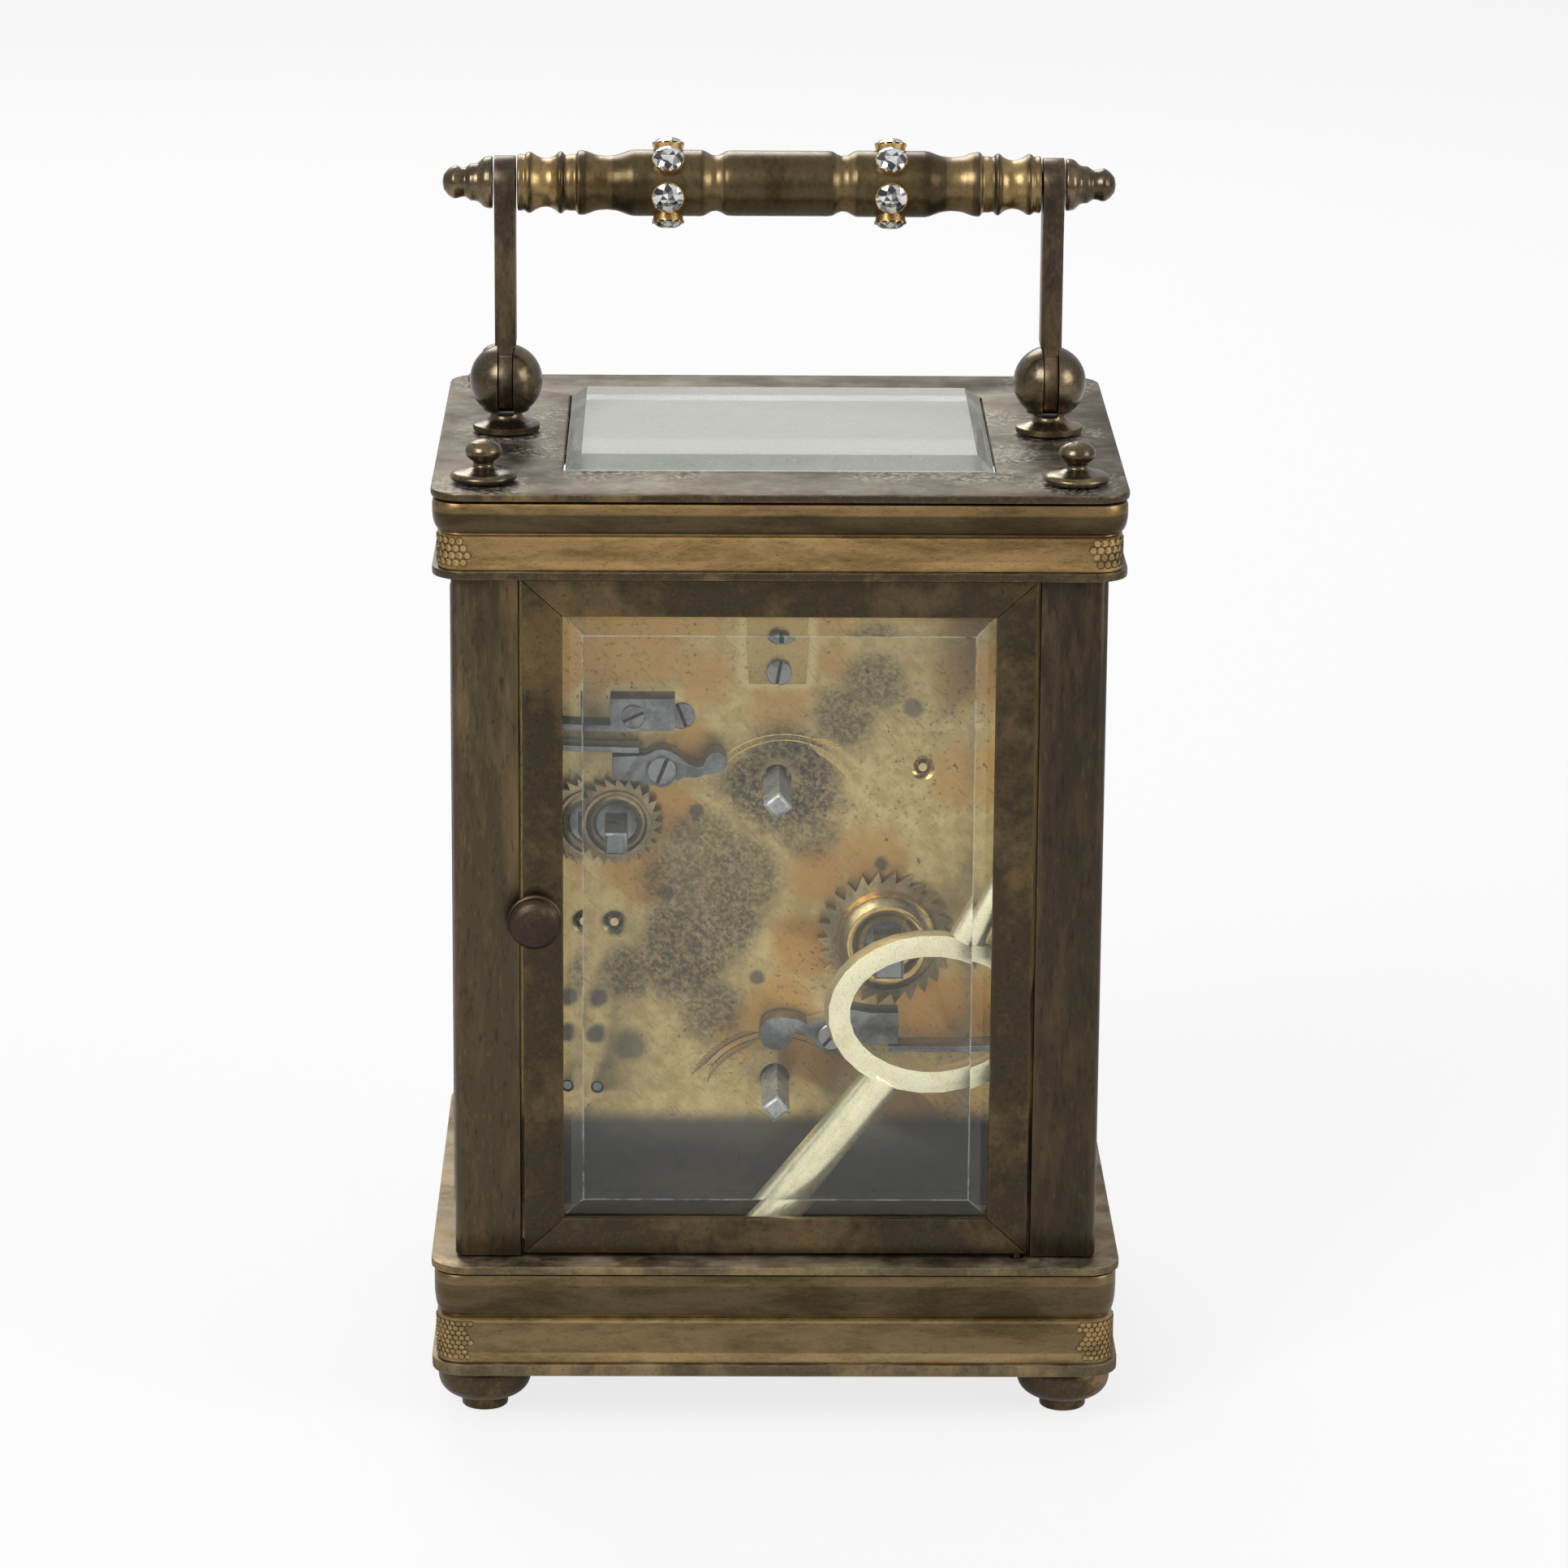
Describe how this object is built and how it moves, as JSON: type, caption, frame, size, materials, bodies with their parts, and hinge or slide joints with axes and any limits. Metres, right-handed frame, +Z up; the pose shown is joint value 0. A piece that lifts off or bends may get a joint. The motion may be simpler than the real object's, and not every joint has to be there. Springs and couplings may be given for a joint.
{
  "type": "carriage clock",
  "caption": "Rectangular brass carriage clock with bevelled glass panels, folding top handle, hinged back door, alarm train, bell in the base and a loose winding key.",
  "frame": {"origin": "on the surface under the feet, below the middle of the case", "axes": "+Z up, -Y out of the dial, +Y out of the glazed back door with the winding squares"},
  "size_m": [0.0914, 0.0769, 0.1672],
  "materials": {
    "aged_brass": "dark patina",
    "rubbed_brass": "golden where rubbed",
    "gilt_brass": "satin gilt, stained",
    "grey_steel": "brushed, greyed",
    "blued_steel": "blued",
    "white_enamel": "glossy enamel",
    "bell_metal": "polished",
    "clear_glass": "clear, bevelled"
  },
  "bodies": {
    "case": {"foot_front_left": "aged_brass", "foot_front_right": "aged_brass", "foot_back_left": "aged_brass", "foot_back_right": "aged_brass", "base_bottom_plate": "aged_brass", "base_moulding": "rubbed_brass", "base_top_plate": "aged_brass", "alarm_bell": "bell_metal", "pillar_front_left": "aged_brass", "pillar_front_right": "aged_brass", "pillar_back_left": "aged_brass", "pillar_back_right": "aged_brass", "glass_front": "clear_glass", "glass_left": "clear_glass", "glass_right": "clear_glass", "glass_top": "clear_glass", "cornice_bottom_plate": "aged_brass", "cornice_moulding": "rubbed_brass", "top_plate": "aged_brass", "finial_front_left": "aged_brass", "finial_front_right": "aged_brass", "finial_back_left": "aged_brass", "finial_back_right": "aged_brass", "handle_post_left": "aged_brass", "handle_post_right": "aged_brass", "back_plate": "gilt_brass", "front_plate": "gilt_brass", "dial": "white_enamel", "platform": "gilt_brass", "winding_key": "gilt_brass"},
    "handle": {"handle_arm_left": "aged_brass", "handle_arm_right": "aged_brass", "handle_grip": "aged_brass", "handle_end_left": "aged_brass", "handle_end_right": "aged_brass"},
    "door": {"door_frame": "aged_brass", "door_glass": "clear_glass", "door_knob": "aged_brass"},
    "hand_setting": {"hand_set_arbor": "grey_steel", "minute_hand": "blued_steel"},
    "minute_gear": {"minute_wheel": "gilt_brass"},
    "hour": {"hour_hand": "blued_steel"},
    "alarm_setting": {"alarm_set_arbor": "grey_steel", "alarm_hand": "blued_steel"},
    "third": {"third_wheel": "gilt_brass"},
    "centre": {"centre_wheel": "gilt_brass"},
    "intermediate": {"intermediate_wheel": "gilt_brass"},
    "going_drum": {"going_barrel": "gilt_brass"},
    "contrate": {"contrate_wheel": "gilt_brass"},
    "escape": {"escape_wheel": "gilt_brass"},
    "balance": {"balance_wheel": "gilt_brass"},
    "going_winding": {"going_winding_arbor": "gilt_brass"},
    "going_pawl": {"going_click": "grey_steel"},
    "going_pawl_spring": {"going_click_spring": "grey_steel"},
    "alarm_winding": {"alarm_winding_arbor": "gilt_brass"},
    "alarm_pawl": {"alarm_click": "grey_steel"},
    "alarm_pawl_spring": {"alarm_click_spring": "grey_steel"},
    "alarm_drum": {"alarm_barrel": "gilt_brass"},
    "alarm_gear": {"alarm_wheel": "gilt_brass"},
    "hammer": {"alarm_hammer": "grey_steel"}
  },
  "joints": [
    {"name": "door_hinge", "type": "hinge", "parent": "case", "child": "door", "pos_m": [-0.0321, 0.0336, 0.0696], "axis": [0, 0, 1], "range_deg": [0, 115]},
    {"name": "handle_swing", "type": "hinge", "parent": "case", "child": "handle", "pos_m": [0, 0, 0.13465], "axis": [1, 0, 0], "range_deg": [-85, 85]},
    {"name": "hand_setting_turn", "type": "hinge", "parent": "case", "child": "hand_setting", "pos_m": [0, 0, 0.08336], "axis": [0, 1, 0], "continuous": true},
    {"name": "minute_wheel_turn", "type": "hinge", "parent": "case", "child": "minute_gear", "pos_m": [0.01, 0, 0.08336], "axis": [0, 1, 0], "continuous": true},
    {"name": "hour_hand_turn", "type": "hinge", "parent": "case", "child": "hour", "pos_m": [0, 0, 0.08336], "axis": [0, 1, 0], "continuous": true},
    {"name": "alarm_setting_turn", "type": "hinge", "parent": "case", "child": "alarm_setting", "pos_m": [0, 0, 0.04149], "axis": [0, 1, 0], "continuous": true},
    {"name": "third_wheel_turn", "type": "hinge", "parent": "case", "child": "third", "pos_m": [-0.01951, 0, 0.08497], "axis": [0, 1, 0], "continuous": true},
    {"name": "centre_wheel_turn", "type": "hinge", "parent": "case", "child": "centre", "pos_m": [0, 0, 0.08336], "axis": [0, 1, 0], "continuous": true},
    {"name": "intermediate_wheel_turn", "type": "hinge", "parent": "case", "child": "intermediate", "pos_m": [0.00435, 0, 0.06575], "axis": [0, 1, 0], "continuous": true},
    {"name": "going_barrel_turn", "type": "hinge", "parent": "case", "child": "going_drum", "pos_m": [-0.01487, 0, 0.06157], "axis": [0, 1, 0], "continuous": true},
    {"name": "contrate_wheel_turn", "type": "hinge", "parent": "case", "child": "contrate", "pos_m": [-0.00867, 0, 0.0999], "axis": [0, 1, 0], "continuous": true},
    {"name": "escape_wheel_turn", "type": "hinge", "parent": "case", "child": "escape", "pos_m": [-0.00867, -0.0035, 0.1136], "axis": [0, 0, 1], "continuous": true},
    {"name": "balance_swing", "type": "hinge", "parent": "case", "child": "balance", "pos_m": [-0.00392, -0.0035, 0.116], "axis": [0, 0, 1], "range_deg": [-135, 135]},
    {"name": "going_winding_turn", "type": "hinge", "parent": "case", "child": "going_winding", "pos_m": [-0.01487, 0, 0.06157], "axis": [0, 1, 0], "continuous": true},
    {"name": "going_click_lift", "type": "hinge", "parent": "case", "child": "going_pawl", "pos_m": [-0.0075, 0.015, 0.0487], "axis": [0, 1, 0], "range_deg": [-8, 0]},
    {"name": "going_click_spring_flex", "type": "hinge", "parent": "case", "child": "going_pawl_spring", "pos_m": [-0.03, 0.015, 0.0471], "axis": [0, 1, 0], "range_deg": [0, 5.2]},
    {"name": "alarm_winding_turn", "type": "hinge", "parent": "case", "child": "alarm_winding", "pos_m": [0.02134, 0, 0.07771], "axis": [0, 1, 0], "continuous": true},
    {"name": "alarm_click_lift", "type": "hinge", "parent": "case", "child": "alarm_pawl", "pos_m": [0.0153, 0.015, 0.0856], "axis": [0, 1, 0], "range_deg": [-8, 0]},
    {"name": "alarm_click_spring_flex", "type": "hinge", "parent": "case", "child": "alarm_pawl_spring", "pos_m": [0.0298, 0.015, 0.0877], "axis": [0, 1, 0], "range_deg": [0, 6.8]},
    {"name": "alarm_barrel_turn", "type": "hinge", "parent": "case", "child": "alarm_drum", "pos_m": [0.02134, 0, 0.07771], "axis": [0, 1, 0], "continuous": true},
    {"name": "alarm_wheel_turn", "type": "hinge", "parent": "case", "child": "alarm_gear", "pos_m": [0.02168, 0, 0.06328], "axis": [0, 1, 0], "continuous": true},
    {"name": "alarm_hammer_swing", "type": "hinge", "parent": "case", "child": "hammer", "pos_m": [0.024, 0, 0.04], "axis": [0, 1, 0], "range_deg": [-8, 2]}
  ],
  "couplings": [
    {"joint": "minute_wheel_turn", "follows": "hand_setting_turn", "ratio": -0.33333},
    {"joint": "hour_hand_turn", "follows": "hand_setting_turn", "ratio": 0.083333},
    {"joint": "centre_wheel_turn", "follows": "third_wheel_turn", "ratio": -0.2},
    {"joint": "intermediate_wheel_turn", "follows": "third_wheel_turn", "ratio": 0.05},
    {"joint": "going_barrel_turn", "follows": "third_wheel_turn", "ratio": -0.01},
    {"joint": "contrate_wheel_turn", "follows": "third_wheel_turn", "ratio": -7.5},
    {"joint": "escape_wheel_turn", "follows": "third_wheel_turn", "ratio": 30},
    {"joint": "alarm_wheel_turn", "follows": "alarm_barrel_turn", "ratio": -2.6667},
    {"joint": "going_click_spring_flex", "follows": "going_click_lift", "ratio": -0.64},
    {"joint": "alarm_click_spring_flex", "follows": "alarm_click_lift", "ratio": -0.84}
  ]
}
